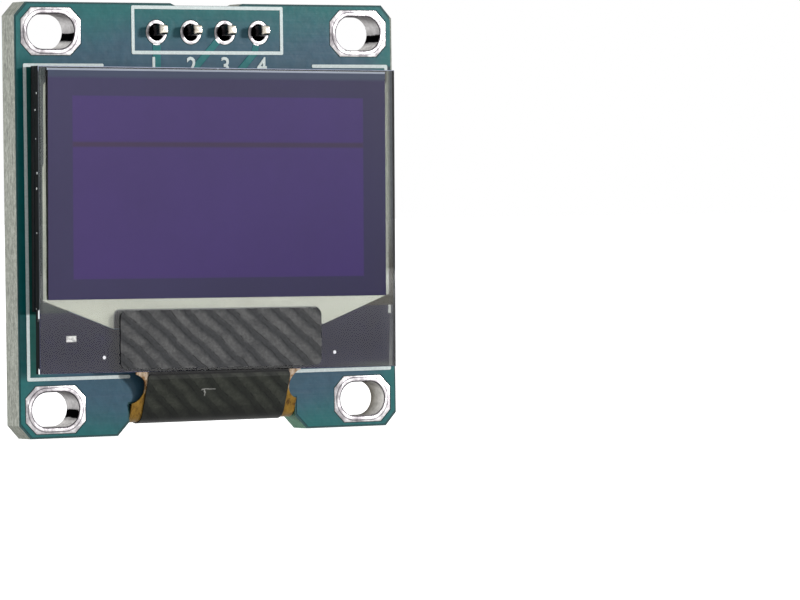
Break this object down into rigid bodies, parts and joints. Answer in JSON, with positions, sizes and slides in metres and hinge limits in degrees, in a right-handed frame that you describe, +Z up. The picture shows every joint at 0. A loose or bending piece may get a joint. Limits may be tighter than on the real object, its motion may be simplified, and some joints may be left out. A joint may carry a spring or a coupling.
{
  "type": "small oled display module",
  "caption": "Small glass display panel stuck on a circuit board, with a folded flexible lead soldered to the back and a loose pin header.",
  "frame": {"origin": "centre of the rectangle of fixing slots, on the outer face of their back pads", "axes": "+X right as seen from the display side, +Y from the display to the back of the board, +Z up towards the header edge"},
  "size_m": [0.0282, 0.0118, 0.0274],
  "materials": {
    "laminate": "glass cloth laminate, sawn edges",
    "copper": "copper under varnish",
    "solder_mask_front": "slate blue solder varnish",
    "solder_mask_back": "slate blue solder varnish with teal lines",
    "print": "white board print",
    "tin": "hot tinned copper",
    "header_plastic": "black moulded plastic",
    "pin": "tinned brass pins",
    "foam": "black double-sided foam tape",
    "cap_glass": "back cover glass, darkened",
    "getter": "drying sheet",
    "seal": "resin bead",
    "display_layer": "dark violet display layer",
    "conductor_film": "silver conductor behind glass",
    "panel_glass": "clear thin glass",
    "polarizer": "dark violet film",
    "driver_chip": "bare silicon",
    "shield_tape": "dark woven tape",
    "flex": "amber film",
    "flex_copper": "gilt copper lines",
    "fold_tape": "dark woven tape",
    "finger_solder": "dull solder",
    "part_solder": "bright solder",
    "terminal": "tinned end caps",
    "capacitor_body": "tan ceramic",
    "resistor_body": "pale ceramic",
    "resistor_coat": "black glaze"
  },
  "bodies": {
    "root": {"bare_via_plating": "tin", "cap_glass": "cap_glass", "capacitor_1_body": "capacitor_body", "capacitor_1_terminals": "terminal", "capacitor_2_body": "capacitor_body", "capacitor_2_terminals": "terminal", "capacitor_3_body": "capacitor_body", "capacitor_3_terminals": "terminal", "capacitor_4_body": "capacitor_body", "capacitor_4_terminals": "terminal", "capacitor_5_body": "capacitor_body", "capacitor_5_terminals": "terminal", "capacitor_6_body": "capacitor_body", "capacitor_6_terminals": "terminal", "capacitor_7_body": "capacitor_body", "capacitor_7_terminals": "terminal", "conductor_film": "conductor_film", "copper_back": "copper", "copper_front": "copper", "display_layer": "display_layer", "driver_chip": "driver_chip", "finger_solder": "finger_solder", "flex_lead": "flex", "flex_lead_copper": "flex_copper", "foam_tape": "foam", "fold_tape": "fold_tape", "getter_sheet": "getter", "header_body": "header_plastic", "header_hole_plating_1": "tin", "header_hole_plating_2": "tin", "header_hole_plating_3": "tin", "header_hole_plating_4": "tin", "header_pin_1": "pin", "header_pin_2": "pin", "header_pin_3": "pin", "header_pin_4": "pin", "laminate": "laminate", "light_shield_tape": "shield_tape", "panel_glass": "panel_glass", "panel_seal": "seal", "part_solder": "part_solder", "polarizer": "polarizer", "print_back": "print", "print_front": "print", "resistor_1_body": "resistor_body", "resistor_1_terminals": "terminal", "resistor_2_body": "resistor_body", "resistor_2_terminals": "terminal", "resistor_3_body": "resistor_body", "resistor_3_terminals": "terminal", "resistor_4_body": "resistor_body", "resistor_4_terminals": "terminal", "resistor_coats": "resistor_coat", "slot_plating_1": "tin", "slot_plating_2": "tin", "slot_plating_3": "tin", "slot_plating_4": "tin", "solder_mask_back": "solder_mask_back", "solder_mask_front": "solder_mask_front", "via_plating": "tin"}
  },
  "joints": []
}
